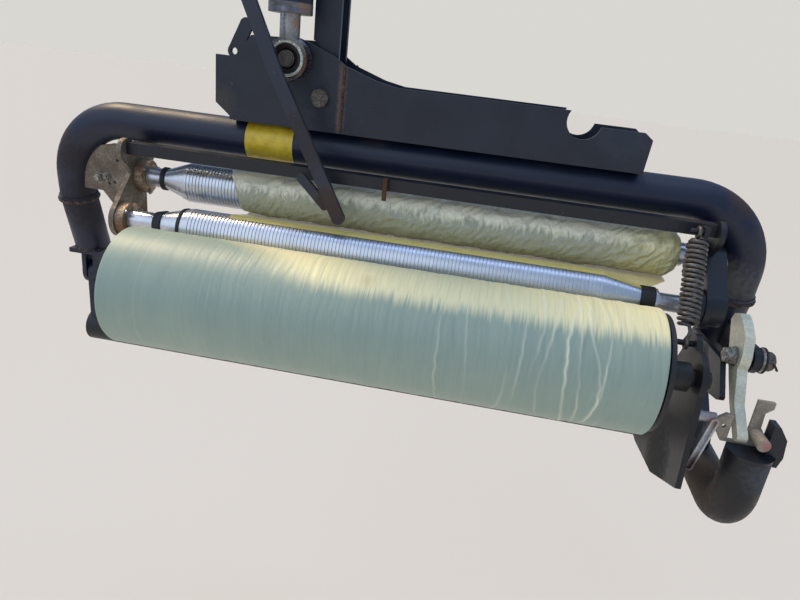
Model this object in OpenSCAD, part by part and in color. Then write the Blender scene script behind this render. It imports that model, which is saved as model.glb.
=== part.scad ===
// Film dispenser of a bale wrapper: a roll of stretch film on a swing-down cradle, two geared
// stretch rollers under a bent guard tube, and the carrier and mast arm that it hangs from.
// Places are given from the middle of the film roll's axis: +X runs along the roll to the
// drive end, +Y goes to the back and +Z is up. from_mount() then moves them to the mast plate.

/* [Film roll] */
// Width of the film on the roll
film_w = 750; // [600:10:800]
// Radius of the wound film
roll_r = 86; // [60:1:88]
// Outer radius of the cardboard core
core_r = 42; // [35:1:50]
// Wall of the cardboard core
core_wall = 5; // [3:0.5:8]
// Radius of the end discs that carry the roll
disc_r = 80; // [60:1:86]
// Thickness of an end disc
disc_t = 6; // [4:0.5:10]
// Radius of the stub shafts of the end discs
stub_r = 12; // [8:0.5:16]

/* [Stretch rollers] */
// Radius of both stretch rollers
roller_r = 32; // [25:0.5:34]
// Radius of the plain shaft at a roller's ends
shaft_r = 16; // [9:0.5:18]
// Depth of the front roller's axis behind the roll's axis
front_y = 105; // [102:1:112]
// Height of the front roller's axis above the roll's axis
front_z = 66; // [64:1:72]
// Depth of the back roller's axis behind the roll's axis
back_y = 165; // [162:1:172]
// Height of the back roller's axis above the roll's axis
back_z = 126; // [122:1:128]
// Thickness of the film bunched on the back roller
sleeve_t = 6; // [3:0.5:7]

/* [Guard tube] */
// Outer radius of the guard tube and the cradle tube
tube_r = 30; // [24:0.5:32]
// Wall of both tubes
tube_wall = 4; // [3:0.5:6]
// Radius of the guard tube's bends on the centre line
bend_r = 105; // [90:1:130]
// Distance from the film's left end to the guard tube's left leg
leg_gap_left = 215; // [185:1:245]
// Distance from the film's right end to the guard tube's right leg
leg_gap_right = 155; // [140:1:185]
// Depth of the tube's long run
tube_y = 188; // [180:1:200]
// Height of the tube's long run
tube_z = 207; // [204:1:215]
// Height at which the legs are cut off
leg_end_z = -37; // [-45:1:-30]
// Backward lean of the upper half of the legs in degrees
leg_lean = 5; // [0:0.5:8]
// Backward lean of the lower half of the legs in degrees
foot_lean = 17; // [12:0.5:20]
// Height at which the legs bend to the back
kink_z = 66; // [50:1:85]

/* [End plates] */
// Gap between the film's left end and the left end plate
plate_gap_left = 71; // [65:1:80]
// Gap between the film's right end and the right end plate
plate_gap_right = 77; // [71:1:85]
// Thickness of the end plates
plate_t = 8; // [5:0.5:12]
// Radius of the bearing flanges
flange_r = 27; // [22:0.5:28]
// Thickness of the bearing flanges
flange_t = 14; // [8:1:20]
// Side of the tie bar, front to back
tie_d = 24; // [15:1:26]
// Height of the tie bar
tie_h = 18; // [12:1:20]

/* [Carrier] */
// Width of the carrier channel over its flanges
carrier_w = 80; // [70:1:100]
// Thickness of the carrier's sheet
carrier_t = 6; // [4:0.5:8]
// Right end of the carrier channel
carrier_right = 342; // [300:1:380]
// Height of the channel's flanges
flange_h = 75; // [50:1:90]
// Radius of the hook notch near the carrier's right end
notch_r = 25; // [15:1:30]
// Left edge of the pivot cheeks
cheek_left = -310; // [-340:1:-300]
// Seam between the pivot cheeks and the channel
cheek_right = -110; // [-112:1:-90]
// Height of the pivot cheeks
cheek_h = 128; // [120:1:150]

/* [Mast] */
// Place of the tilt pivot along the roll
pivot_x = -144; // [-150:1:-140]
// Height of the tilt pivot above the roll's axis
pivot_z = 286; // [284:1:295]
// Radius of the tilt pivot pin
pivot_r = 11; // [10:0.5:16]
// Width of the mast arm's two bars
mast_w = 40; // [30:1:42]
// Thickness of the mast arm's two bars
mast_t = 8; // [6:0.5:10]
// Gap between the mast arm's two bars
mast_gap = 36; // [36:1:40]
// Length of the mast plate
mast_plate_l = 200; // [180:1:240]
// Depth of the mast plate
mast_plate_w = 100; // [90:1:140]
// Radius of the four bolt holes in the mast plate
mast_hole_r = 7; // [5:0.5:9]
// Distance of the bolt holes along the mast plate
mast_hole_x = 160; // [140:1:170]
// Distance of the bolt holes across the mast plate
mast_hole_y = 70; // [66:1:80]

/* [Tilt cylinder] */
// Place of the rod eye's pin along the roll
eye_x = -189; // [-192:1:-186]
// Height of the rod eye's pin
eye_z = 336; // [332:1:338]
// Outer radius of the rod eye
eye_r = 30; // [26:0.5:31]
// Width of the rod eye
eye_w = 26; // [20:1:28]
// Radius of the pins at both ends of the cylinder
eye_pin_r = 10; // [8:0.5:12]
// Radius of the chrome rod
rod_r = 14.5; // [10:0.5:15]
// Outer radius of the cylinder barrel
barrel_r = 28; // [24:0.5:30]
// Lower end of the barrel above the rod eye's pin
gland_z = 60; // [58:1:80]
// Height of the barrel's upper pin
barrel_top = 640; // [632:1:644]

/* [Cradle] */
// Depth of the cradle's hinge pins
hinge_y = 236; // [230:1:240]
// Height of the cradle's hinge pins
hinge_z = -88; // [-92:1:-84]
// Radius of the hinge pins
hinge_r = 10; // [8:0.5:12]
// Height of the cradle tube's cross run
cross_z = -200; // [-210:1:-190]
// Gap between the film's left end and the cradle's left side plate
side_gap_left = 23; // [20:1:30]
// Gap between the film's right end and the cradle's right side plate
side_gap_right = 57; // [50:1:63]
// Thickness of the cradle's side plates
side_t = 8; // [6:0.5:10]
// Depth of the cradle tube's upright end
horn_y = -8; // [-20:1:0]
// Height of the cradle tube's upright end
horn_z = -94; // [-97:1:-92]
// Radius of the cradle tube's upward bend on the centre line
horn_bend = 50; // [45:1:60]
// Radius of the cradle tube's sideways bend on the centre line
side_bend = 70; // [62:1:90]

/* [Spring and latch] */
// Mean radius of the spring's coil
spring_r = 13; // [9:0.5:15]
// Radius of the spring wire
wire_r = 2; // [1.5:0.25:3]
// Number of turns of the spring
spring_turns = 18; // [12:1:24]
// Depth of the latch bolt
latch_y = 74; // [70:1:80]
// Height of the latch bolt
latch_z = 12; // [5:1:15]
// Radius of the latch bolt
latch_r = 8; // [6:0.5:10]
// Thickness of the latch lever
lever_t = 14; // [8:1:16]

/* [Hidden] */
$fn = 64;

seat = 0.2;
running = 0.05;
bore_gap = 0.3;
eye_slack = 4;
tube_top = tube_z + tube_r;
mast_top = barrel_top + 62;
mount = [-190, tube_y, mast_top];
carrier_front = tube_y - carrier_w / 2;
carrier_back = tube_y + carrier_w / 2;
floor_z = tube_top + seat;
mast_front = tube_y - mast_gap / 2 - mast_t;
mast_back = tube_y + mast_gap / 2;
mast_plate_t = 12;
mast_low = mast_top - mast_plate_t;
barrel_x = eye_x - 1;
cylinder_y = carrier_front - 18;
half_w = film_w / 2;
leg_left = -half_w - leg_gap_left;
leg_right = half_w + leg_gap_right;
plate_left = -half_w - plate_gap_left;
plate_right = half_w + plate_gap_right;
side_left = -half_w - side_gap_left;
side_right = half_w + side_gap_right;
foot_y = tube_y + (tube_z - kink_z) * tan(leg_lean) + (kink_z - leg_end_z) * tan(foot_lean);
tie_y = 121;
tie_z = 166.5;
disc_gap = 4;
shaft_out = 4;
journal_r = shaft_r - 4;
lever_x = leg_right - 22;
lever_gap = 5;
ear_t = 12;
disc_x = half_w + disc_gap;

module from_mount() {
  translate(-mount) children();
}

// A plate drawn in Y and Z, from x to x + t
module plate_x(x, t) {
  translate([x, 0, 0]) rotate([90, 0, 90]) linear_extrude(t) children();
}

// A plate drawn in X and Z, from y to y + t
module plate_y(y, t) {
  translate([0, y + t, 0]) rotate([90, 0, 0]) linear_extrude(t) children();
}

module rod_x(x0, x1, y, z, r) {
  translate([x0, y, z]) rotate([0, 90, 0]) cylinder(h = x1 - x0, r = r);
}

module rod_y(x, y0, y1, z, r) {
  translate([x, y1, z]) rotate([90, 0, 0]) cylinder(h = y1 - y0, r = r);
}

// A flat bar with round ends and corners through the points of a drawing
module chain(points, w) {
  side = w - 2 * seat;
  for (p = points) translate(p) circle(w / 2);
  for (i = [0:len(points) - 2]) {
    d = points[i + 1] - points[i];
    translate(points[i]) rotate(atan2(d[1], d[0])) translate([0, -side / 2]) square([norm(d), side]);
  }
}

module link(p, q, w) {
  chain([p, q], w);
}

// A round bar bent by the angle: starts along +X at the origin and turns towards +Y
module tube_bend(bend, angle, r) {
  translate([0, bend, 0]) rotate([0, 0, -90]) rotate_extrude(angle = angle)
    translate([bend, 0]) circle(r);
}

module tube_straight(l, r) {
  rotate([0, 90, 0]) cylinder(h = l, r = r);
}

// Mast arm and its plate
module mast_arm() color("#23262c") from_mount() {
  head_left = mount[0] - mast_plate_l / 2 + 10;
  head_l = mast_plate_l - 34;
  head_h = 78;
  far_tilt = 20;
  eye_way = [eye_x - pivot_x, eye_z - pivot_z];
  far_eye = [eye_way[0] * cos(far_tilt) + eye_way[1] * sin(far_tilt),
    eye_way[1] * cos(far_tilt) - eye_way[0] * sin(far_tilt)];
  difference() {
    for (y = [mast_front, mast_back]) plate_y(y, mast_t) {
      translate([pivot_x, pivot_z]) circle(mast_w / 2);
      translate([pivot_x - mast_w / 2 + seat, pivot_z])
        square([mast_w - 2 * seat, mast_low - head_h + 1 - pivot_z]);
      translate([head_left, mast_low - head_h]) square([head_l, head_h]);
    }
    rod_y(pivot_x, mast_front - 1, mast_back + mast_t + 1, pivot_z, pivot_r + running);
    rod_y(barrel_x, mast_front - 1, mast_back + mast_t + 1, barrel_top, eye_pin_r + running);
    rod_y(pivot_x + far_eye[0], mast_front - 1, mast_back + mast_t + 1, pivot_z + far_eye[1],
      eye_pin_r + 8);
  }
}

module mast_plate() color("#23262c") from_mount() {
  difference() {
    translate([mount[0] - mast_plate_l / 2, mount[1] - mast_plate_w / 2, mast_low])
      cube([mast_plate_l, mast_plate_w, mast_plate_t]);
    for (x = [-1, 1], y = [-1, 1])
      translate([mount[0] + x * mast_hole_x / 2, mount[1] + y * mast_hole_y / 2, mast_low - 1])
        cylinder(h = mast_plate_t + 2, r = mast_hole_r);
  }
}

// Bent flat bar that hangs in front of the tube from a spacer on the mast arm
module stop_bar() color("#2b2a2a") from_mount() {
  bar_y = 84;
  bar_t = 8;
  bar_w = 20;
  strip_w = 14;
  spacer_r = 12;
  points = [[-262, barrel_top], [-266, barrel_top - 120], [-236, 408], [-192, 313], [-89, 123]];
  plate_y(bar_y, bar_t) chain(points, bar_w);
  plate_y(bar_y + bar_t, bar_t) link([-150, 173], [-113, 137], strip_w);
  rod_y(points[0][0], bar_y + bar_t, mast_front, points[0][1], spacer_r);
}

// Hydraulic cylinder: barrel with its upper eye and pin, rod with its lower eye
module cylinder_barrel() color("#30343a") from_mount() {
  gland = eye_z + gland_z;
  barrel_l = barrel_top - gland - 40;
  bore_l = barrel_l - 15;
  neck_r = 14;
  neck_l = 25;
  upper_eye_r = 22;
  pin_out = 4;
  translate([barrel_x, cylinder_y, 0]) {
    difference() {
      union() {
        translate([0, 0, gland]) cylinder(h = barrel_l, r = barrel_r);
        translate([0, 0, gland]) cylinder(h = 22, r = barrel_r + 3);
        translate([0, 0, gland + barrel_l - 1]) cylinder(h = neck_l, r = neck_r);
        rod_y(0, -eye_w / 2, eye_w / 2, barrel_top, upper_eye_r);
      }
      translate([0, 0, gland - 1]) cylinder(h = bore_l, r = rod_r + running);
    }
    rod_y(0, -eye_w / 2 - pin_out, mast_back + mast_t + pin_out - cylinder_y, barrel_top, eye_pin_r);
    rod_y(0, eye_w / 2 - 1, mast_front - seat - cylinder_y, barrel_top, eye_pin_r + 6);
  }
}

module cylinder_rod() color("#c9cbcd") from_mount() {
  rod_l = 150;
  difference() {
    union() {
      rod_y(eye_x, cylinder_y - eye_w / 2, cylinder_y + eye_w / 2, eye_z, eye_r);
      translate([barrel_x, cylinder_y, eye_z + eye_r - 8]) cylinder(h = rod_l, r = rod_r);
    }
    rod_y(eye_x, cylinder_y - eye_w, cylinder_y + eye_w, eye_z, eye_pin_r + eye_slack);
  }
}

// Leg of the guard tube below its bend, with a welded joint where it turns to the back
module guard_leg(r) {
  upper = (tube_z - kink_z) / cos(leg_lean) - bend_r;
  turn = foot_lean - leg_lean;
  lower = (kink_z - leg_end_z) / cos(foot_lean) + tube_r;
  weld_h = 2;
  weld = tube_r * sin(turn / 2) + weld_h;
  rotate([0, 0, 90]) tube_straight(upper, r);
  translate([0, upper, 0]) {
    rotate([turn / 2, 0, 0]) translate([0, -weld, 0]) rotate([0, 0, 90])
      tube_straight(2 * weld, r + weld_h);
    rotate([turn, 0, 0]) rotate([0, 0, 90]) tube_straight(lower, r);
  }
}

// The guard tube's whole form as a solid of radius r
module guard_form(r) {
  run = leg_right - leg_left - 2 * bend_r;
  translate([0, tube_y, tube_z]) rotate([leg_lean - 90, 0, 0]) {
    translate([leg_left + bend_r, 0, 0]) tube_straight(run, r);
    translate([leg_right - bend_r, 0, 0]) tube_bend(bend_r, 90, r);
    translate([leg_left + bend_r, 0, 0]) mirror([1, 0, 0]) tube_bend(bend_r, 90, r);
    for (x = [leg_left, leg_right]) translate([x, bend_r, 0]) guard_leg(r);
  }
}

// Guard tube: one long run, two bends and two legs cut off level
module guard_tube() color("#1f2329") from_mount() {
  difference() {
    guard_form(tube_r);
    guard_form(tube_r - tube_wall);
    translate([leg_left - 2 * tube_r, tube_y - tube_r, leg_end_z - bend_r])
      cube([leg_right - leg_left + 4 * tube_r, 2 * bend_r, bend_r]);
  }
}

// Outline of the carrier channel's flanges, with the hook notch
module channel_flange() {
  notch_x = carrier_right - 98;
  low_h = 57;
  difference() {
    polygon([[cheek_right, floor_z], [carrier_right - 3, floor_z], [carrier_right, floor_z + low_h - 9],
      [carrier_right - 12, floor_z + low_h], [notch_x + 11, floor_z + low_h],
      [notch_x - 14, floor_z + flange_h], [-30, floor_z + flange_h + 1],
      [-62, floor_z + flange_h + 7], [cheek_right, floor_z + flange_h + 23]]);
    translate([notch_x, floor_z + flange_h - 13]) circle(notch_r);
    translate([notch_x, floor_z + flange_h - 13]) square([notch_r - seat, notch_r]);
  }
}

// Carrier: folded channel on the guard tube
module carrier_channel() color("#20242a") from_mount() {
  floor_left = cheek_left + 20;
  floor_right = carrier_right - 3;
  inner_y = carrier_front + carrier_t + seat;
  for (y = [carrier_front, carrier_back - carrier_t]) plate_y(y, carrier_t) channel_flange();
  translate([floor_left, inner_y, floor_z])
    cube([floor_right - floor_left, 2 * (tube_y - inner_y), carrier_t]);
  translate([cheek_right, carrier_front + 1, floor_z])
    cube([floor_right - cheek_right, carrier_w - 2, carrier_t]);
}

module pivot_cheek(y) {
  difference() {
    plate_y(y, carrier_t) {
      polygon([[cheek_left + 30, floor_z], [cheek_right - seat, floor_z],
        [cheek_right - seat, floor_z + flange_h + 23], [cheek_right - 18, floor_z + cheek_h - 18],
        [cheek_right - 70, floor_z + cheek_h], [cheek_left + 55, floor_z + cheek_h - 3],
        [cheek_left + 30, floor_z + cheek_h - 35], [cheek_left, floor_z + cheek_h - 35],
        [cheek_left, floor_z + 24]]);
      children();
    }
    rod_y(pivot_x, y - 1, y + carrier_t + 1, pivot_z, pivot_r + running);
    rod_y(eye_x, y - 1, y + carrier_t + 1, eye_z, eye_pin_r + running);
  }
}

module pivot_cheek_front() color("#20242a") from_mount() {
  eyelet = [cheek_left + 29, floor_z + cheek_h - 28];
  difference() {
    pivot_cheek(carrier_front) link(eyelet, eyelet + [18, 38], 20);
    rod_y(eyelet[0], carrier_front - 1, carrier_front + carrier_t + 1, eyelet[1], 5);
  }
}

module pivot_cheek_back() color("#20242a") from_mount() {
  pivot_cheek(carrier_back - carrier_t);
}

module pivot_pin() color("#6d6a66") from_mount() {
  rod_y(pivot_x, carrier_front - 2, carrier_back + 2, pivot_z, pivot_r);
  rod_y(pivot_x, carrier_front - 8, carrier_front - seat, pivot_z, pivot_r + 2);
  rod_y(pivot_x, carrier_back + seat, carrier_back + 8, pivot_z, pivot_r + 2);
}

// Pin of the rod eye: it stands out in front of the carrier, behind a collar on the front cheek
module eye_pin() color("#6d6a66") from_mount() {
  rod_y(eye_x, cylinder_y - eye_w / 2 - 5, carrier_back + 2, eye_z, eye_pin_r);
  rod_y(eye_x, cylinder_y + eye_w / 2 + 1, carrier_front - seat, eye_z, eye_pin_r + 7);
  rod_y(eye_x, carrier_back + seat, carrier_back + 8, eye_z, eye_pin_r + 3);
}

// Tie bar between the end plates
module tie_bar() color("#1f2329") from_mount() {
  translate([plate_left + seat, tie_y, tie_z])
    cube([plate_right - plate_left - 2 * seat, tie_d, tie_h]);
}

// Rusty stud on a small tab at the front of the tie bar
module tie_stud() color("#6b4a35") from_mount() {
  stud_x = -27;
  stud_r = 3.5;
  stud_l = 34;
  tab_w = 6;
  stud_y = tie_y - seat - tab_w - stud_r;
  translate([stud_x, stud_y, tie_z + tie_h + 3 - stud_l]) cylinder(h = stud_l, r = stud_r);
  translate([stud_x - tab_w / 2, stud_y, tie_z + 3]) cube([tab_w, tab_w + stud_r, tie_h - 9]);
}

// End plate: carries both rollers, and reaches up to the guard tube
module end_plate(x, t) {
  difference() {
    plate_x(x, t) {
      link([front_y, front_z], [back_y, back_z], 2 * flange_r + 6);
      link([back_y, back_z], [tube_y, tube_z - tube_r - 12], 40);
      link([tie_y + 4, tie_z + 4], [back_y, back_z + 10], 40);
    }
    rod_x(x - 1, x + t + 1, front_y, front_z, journal_r + bore_gap);
    rod_x(x - 1, x + t + 1, back_y, back_z, journal_r + bore_gap);
    guard_form(tube_r + seat);
  }
}

// Gusset from an end plate out to the guard tube's leg, with two bolts' holes
module gusset_left() color("#8d8272") from_mount() {
  out = plate_left - plate_t - seat;
  gusset_y = back_y + journal_r + 5;
  difference() {
    plate_y(gusset_y, plate_t) polygon([[out, 168], [out - 55, 168], [leg_left, 150], [leg_left, 86],
      [out - 77, 86], [out - 40, 44], [out - 11, 36], [out, 36]]);
    for (p = [[-47, 141], [-63, 100], [-53, 103], [-37, 61]])
      rod_y(out + p[0], gusset_y - 1, gusset_y + plate_t + 1, p[1], 3);
    guard_form(tube_r + seat);
  }
}

module gusset_right() color("#3b3a3a") from_mount() {
  out = plate_right + plate_t + seat;
  gusset_y = back_y + journal_r + 13;
  difference() {
    plate_y(gusset_y, plate_t) polygon([[out, 160], [leg_right, 150], [leg_right, 84], [out, 84]]);
    guard_form(tube_r + seat);
  }
}

module end_plate_left() color("#8d8272") from_mount() {
  end_plate(plate_left - plate_t, plate_t);
}

module end_plate_right() color("#3b3a3a") from_mount() {
  end_plate(plate_right, plate_t);
}

module bearing_pair(x) {
  for (p = [[front_y, front_z], [back_y, back_z]]) difference() {
    rod_x(x, x + flange_t, p[0], p[1], flange_r);
    rod_x(x - 1, x + flange_t + 1, p[0], p[1], journal_r + running);
  }
}

module bearings_left() color("#8a5a3c") from_mount() {
  bearing_pair(plate_left);
}

module bearings_right() color("#3b3a3a") from_mount() {
  bearing_pair(plate_right - flange_t);
}

// Closed case of the gear pair, outside the right end plate
module gear_case() color("#1f2329") from_mount() {
  case_t = 22;
  case_r = 28;
  inner = plate_right + plate_t;
  difference() {
    plate_x(inner, case_t) link([front_y + 4, front_z + 2], [back_y - 5, back_z - 8], 2 * case_r);
    for (p = [[front_y, front_z], [back_y, back_z]])
      rod_x(inner - 1, inner + shaft_out + 1, p[0], p[1], journal_r + bore_gap);
  }
}

// Hinge forks under the legs
module hinge_fork(x) {
  gap = ear_t + 2;
  cheek_t = 8;
  cheek_w = 44;
  foot_t = 8;
  difference() {
    union() {
      translate([x - tube_r, foot_y - tube_r, leg_end_z - foot_t])
        cube([2 * tube_r, hinge_y + cheek_w / 2 - foot_y + tube_r, foot_t]);
      for (s = [x - gap / 2 - cheek_t, x + gap / 2]) plate_x(s, cheek_t) {
        translate([hinge_y, hinge_z]) circle(cheek_w / 2);
        translate([hinge_y - cheek_w / 2 + seat, hinge_z])
          square([cheek_w - 2 * seat, leg_end_z - foot_t + 1 - hinge_z]);
      }
    }
    rod_x(x - tube_r, x + tube_r, hinge_y, hinge_z, hinge_r + running);
  }
}

module hinge_fork_left() color("#1f2329") from_mount() {
  hinge_fork(leg_left);
}

module hinge_fork_right() color("#1f2329") from_mount() {
  hinge_fork(leg_right);
}

// Plate on the left side of the right leg, with its front corner cut back under the latch bolt
module hanger_plate() color("#24303a") from_mount() {
  plate_x(leg_right - tube_r - seat - plate_t, plate_t)
    polygon([[foot_y - 16, -4], [foot_y - 16, -34], [164, -62], [158, -66], [148, -68], [50, -49],
      [43, -45], [42, -40], [76, 1], [82, 3], [146, 0]]);
}

// Lug in front of the right leg, with the bolt that the latch lever turns on
module latch_lug() color("#24303a") from_mount() {
  lug_x = lever_x + lever_t + lever_gap;
  lug_r = 20;
  head_t = 13;
  washer_t = 5;
  difference() {
    plate_x(lug_x, plate_t) link([latch_y, latch_z], [foot_y - 20, latch_z - 8], 2 * lug_r);
    guard_form(tube_r + seat);
  }
  rod_x(lever_x - 2, lug_x + plate_t + 26, latch_y, latch_z, latch_r);
  rod_x(lever_x - 1 - head_t, lever_x - 1, latch_y, latch_z, latch_r + 1);
  rod_x(lug_x + plate_t - 1, lug_x + plate_t + washer_t, latch_y, latch_z, latch_r + 8);
}

// Spring from the tie bar to the pin of the cradle's right side plate
spring_x = side_right - 10;
spring_pin_r = 4;
spring_top = [tie_y - 17, tie_z + 9];
spring_low = [32, 36];
hook_top = 12;
hook_low = 24;
spring_lean = atan2(spring_top[0] - spring_low[0], spring_top[1] - spring_low[1]);
spring_l = norm(spring_top - spring_low);

module spring_anchor() color("#23262c") from_mount() {
  plate_x(spring_x + 6, 6)
    translate([spring_top[0] - 8, tie_z + 2]) square([tie_y - seat - spring_top[0] + 8, 14]);
  rod_x(spring_x - 12, spring_x + 6, spring_top[0], spring_top[1], spring_pin_r);
}

// One ring for each turn on a thin sleeve, with a wire at each end that reaches its pin
module tension_spring() color("#1c1c1e") from_mount() {
  coil = spring_l - hook_top - hook_low;
  pitch = coil / spring_turns;
  translate([spring_x, spring_low[0], spring_low[1]]) rotate([-spring_lean, 0, 0]) {
    translate([0, 0, hook_low]) rotate_extrude() {
      square([spring_r, coil]);
      for (i = [0:spring_turns - 1]) translate([spring_r, (i + 0.5) * pitch]) circle(wire_r, $fn = 24);
    }
    translate([0, 0, spring_pin_r + seat]) cylinder(h = hook_low, r = wire_r);
    translate([0, 0, hook_low + coil - 1]) cylinder(h = hook_top - spring_pin_r - seat + 1, r = wire_r);
  }
}

// Stretch roller: journals in the bearings, a thicker shaft, and a body with a cone at each end
module roller(y, z, body, cones, right_shaft_r) {
  x0 = plate_left - plate_t - shaft_out;
  x1 = plate_right + plate_t + shaft_out;
  shoulder = flange_t + 1;
  collar_l = 24;
  collar = body[1] + cones[1] + collar_l;
  translate([0, y, z]) rotate([0, 90, 0]) rotate_extrude() polygon([[0, x0], [journal_r, x0],
    [journal_r, plate_left + shoulder], [shaft_r, plate_left + shoulder], [shaft_r, body[0] - cones[0]],
    [roller_r, body[0]], [roller_r, body[1]], [shaft_r + 2, collar - collar_l], [shaft_r + 2, collar],
    [right_shaft_r, collar], [right_shaft_r, plate_right - shoulder],
    [journal_r, plate_right - shoulder], [journal_r, x1], [0, x1]]);
}

module front_roller() color("#b9bec4") from_mount() {
  roller(front_y, front_z, [plate_left + 119, plate_right - 144], [60, 58], shaft_r - 3);
}

module back_roller() color("#b9bec4") from_mount() {
  roller(back_y, back_z, [plate_left + 88, plate_right - 72], [42, 22], shaft_r - 1);
}

// Film bunched round the back roller
module film_sleeve() color("#d9dca0") from_mount() {
  left = plate_left + 152;
  right = plate_right - 73;
  translate([0, back_y, back_z]) rotate([0, 90, 0]) rotate_extrude() polygon([
    [roller_r + seat, left], [roller_r + sleeve_t, left + 55], [roller_r + sleeve_t, right - 14],
    [roller_r + seat, right]]);
}

// The cradle tube's form as a solid of radius r, longer at both ends by over
module cradle_form(r, over) {
  left_end = leg_left - ear_t - over;
  translate([left_end, hinge_y, cross_z]) tube_straight(leg_right - side_bend - left_end, r);
  translate([leg_right - side_bend, hinge_y, cross_z]) mirror([0, 1, 0]) tube_bend(side_bend, 90, r);
  translate([leg_right, hinge_y - side_bend, cross_z]) rotate([0, 0, -90])
    tube_straight(hinge_y - side_bend - horn_bend - horn_y, r);
  translate([leg_right, horn_y + horn_bend, cross_z]) rotate([0, 0, -90]) rotate([90, 0, 0])
    tube_bend(horn_bend, 90, r);
  translate([leg_right, horn_y, cross_z + horn_bend])
    cylinder(h = horn_z - cross_z - horn_bend + over, r = r);
}

// Cradle: tube with a cross run at the back, a bend to the front and an upright end
module cradle_tube() color("#1f2329") from_mount() {
  difference() {
    cradle_form(tube_r, 0);
    cradle_form(tube_r - tube_wall, 1);
  }
}

// Bores of a cradle side plate: the roll's stub shaft and the cross run
module cradle_bores(x) {
  rod_x(x - 1, x + side_t + 1, 0, 0, stub_r + running);
  rod_x(x - 1, x + side_t + 1, hinge_y, cross_z, tube_r + seat);
}

// Ear on the cradle tube with the hinge pin that turns in a leg's fork
module hinge_ear(x, foot) {
  ear_w = 40;
  pin_l = 48;
  difference() {
    plate_x(x - ear_t / 2, ear_t) link([hinge_y, hinge_z], foot, ear_w);
    rod_x(x - ear_t, x + ear_t, hinge_y, cross_z, tube_r + seat);
    rod_y(leg_right, horn_y, hinge_y, cross_z, tube_r + seat);
  }
  rod_x(x - pin_l / 2, x + pin_l / 2, hinge_y, hinge_z, hinge_r);
}

module cradle_ear_left() color("#24272c") from_mount() {
  hinge_ear(leg_left, [hinge_y, cross_z + 20]);
}

module cradle_ear_right() color("#24272c") from_mount() {
  hinge_ear(leg_right, [hinge_y - side_bend - 24, cross_z + 37]);
}

module cradle_plate_left() color("#24272c") from_mount() {
  difference() {
    plate_x(side_left - side_t, side_t) {
      link([0, 0], [70, -60], 70);
      link([70, -60], [hinge_y - 24, cross_z + 30], 84);
    }
    cradle_bores(side_left - side_t);
  }
}

module cradle_plate_right() color("#24272c") from_mount() {
  difference() {
    plate_x(side_right, side_t) {
      translate([0, 0]) circle(38);
      link([10, 10], spring_low, 30);
      polygon([[-37, -8], [-56, cross_z + 62], [45, cross_z + 16], [150, cross_z + 4],
        [hinge_y, cross_z + 10], [hinge_y - 10, cross_z + 58], [130, -92], [62, 18], [8, 37]]);
    }
    cradle_bores(side_right);
  }
  rod_x(spring_x - 12, side_right, spring_low[0], spring_low[1], spring_pin_r);
}

// Striker on the cap of the cradle tube's upright end: the latch lever rests between its jaws
cap_t = 5;
striker_z = horn_z + seat + cap_t;
striker_y = horn_y + 14;
slot_left = lever_x - lever_gap;
slot_right = lever_x + lever_t + lever_gap;

module striker() color("#8f8f8b") from_mount() {
  striker_t = 6;
  bridge_h = 3;
  boss_r = 9;
  plate_y(striker_y, striker_t) {
    translate([slot_right, striker_z]) polygon([[0, 0], [22, 0], [24, 16], [14, 30], [13, 52],
      [22, 60], [22, 69], [0, 69]]);
    difference() {
      translate([slot_left, striker_z]) polygon([[0, 0], [0, 40], [-9, 42], [-20, 33], [-17, 14],
        [-8, 0]]);
      translate([slot_left - 9, striker_z + 23]) circle(3);
    }
    translate([slot_left - 8, striker_z]) square([slot_right - slot_left + 12, bridge_h]);
  }
  rod_y(slot_right + boss_r + 1, horn_y - 16, striker_y + 1, striker_z + 19, boss_r);
}

// Cap of the upright end with the block beside the striker
module catch_block() color("#26231f") from_mount() {
  side = leg_right + tube_r + 2;
  translate([leg_right, horn_y, horn_z + seat]) cylinder(h = cap_t, r = tube_r);
  plate_y(horn_y - 6, striker_y - seat - horn_y + 6) translate([0, striker_z])
    polygon([[slot_right + 20, -1], [slot_right + 20, 45], [slot_right + 28, 45], [side + 6, 27],
      [side + 9, 0], [side + 5, -16], [side, -16], [side, -1]]);
}

// Release handle: folded channel on a stub of the right side plate
module release_handle() color("#a9aaa6") from_mount() {
  out = side_right + side_t + seat;
  handle_y = -36;
  handle_t = 12;
  top = [out + 23, -42];
  low = [out + 9, -114];
  difference() {
    plate_y(handle_y, handle_t) link(top, low, 11);
    plate_y(handle_y - 1, 5) link(top, low, 6);
  }
  rod_x(out, out + 26, handle_y + handle_t / 2 + 5, top[1] + 2, 7);
}

// Film roll with its core and the two end discs that turn with it
module roll_film() color("#b7c6a6") from_mount() {
  difference() {
    rod_x(-film_w / 2, film_w / 2, 0, 0, roll_r);
    rod_x(-film_w / 2 - 1, film_w / 2 + 1, 0, 0, core_r);
  }
}

module roll_core() color("#a98b63") from_mount() {
  difference() {
    rod_x(-film_w / 2 - 2, film_w / 2 + 2, 0, 0, core_r);
    rod_x(-film_w / 2 - 3, film_w / 2 + 3, 0, 0, core_r - core_wall);
  }
}

// End disc with its hub in the core and its stub shaft in a side plate, s is -1 at the left end
module end_disc(s, r, side) {
  mirror([s < 0 ? 1 : 0, 0, 0]) {
    rod_x(disc_x, disc_x + disc_t, 0, 0, r);
    rod_x(disc_x - 40, disc_x, 0, 0, core_r - core_wall - seat);
    rod_x(disc_x + disc_t, side + side_t + 14, 0, 0, stub_r);
    rod_x(disc_x + disc_t, side - 6, 0, 0, stub_r + 8);
  }
}

module end_disc_left() color("#1c1d1f") from_mount() {
  end_disc(-1, disc_r - 16, -side_left);
}

module end_disc_right() color("#1c1d1f") from_mount() {
  end_disc(1, disc_r, side_right);
}

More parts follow.
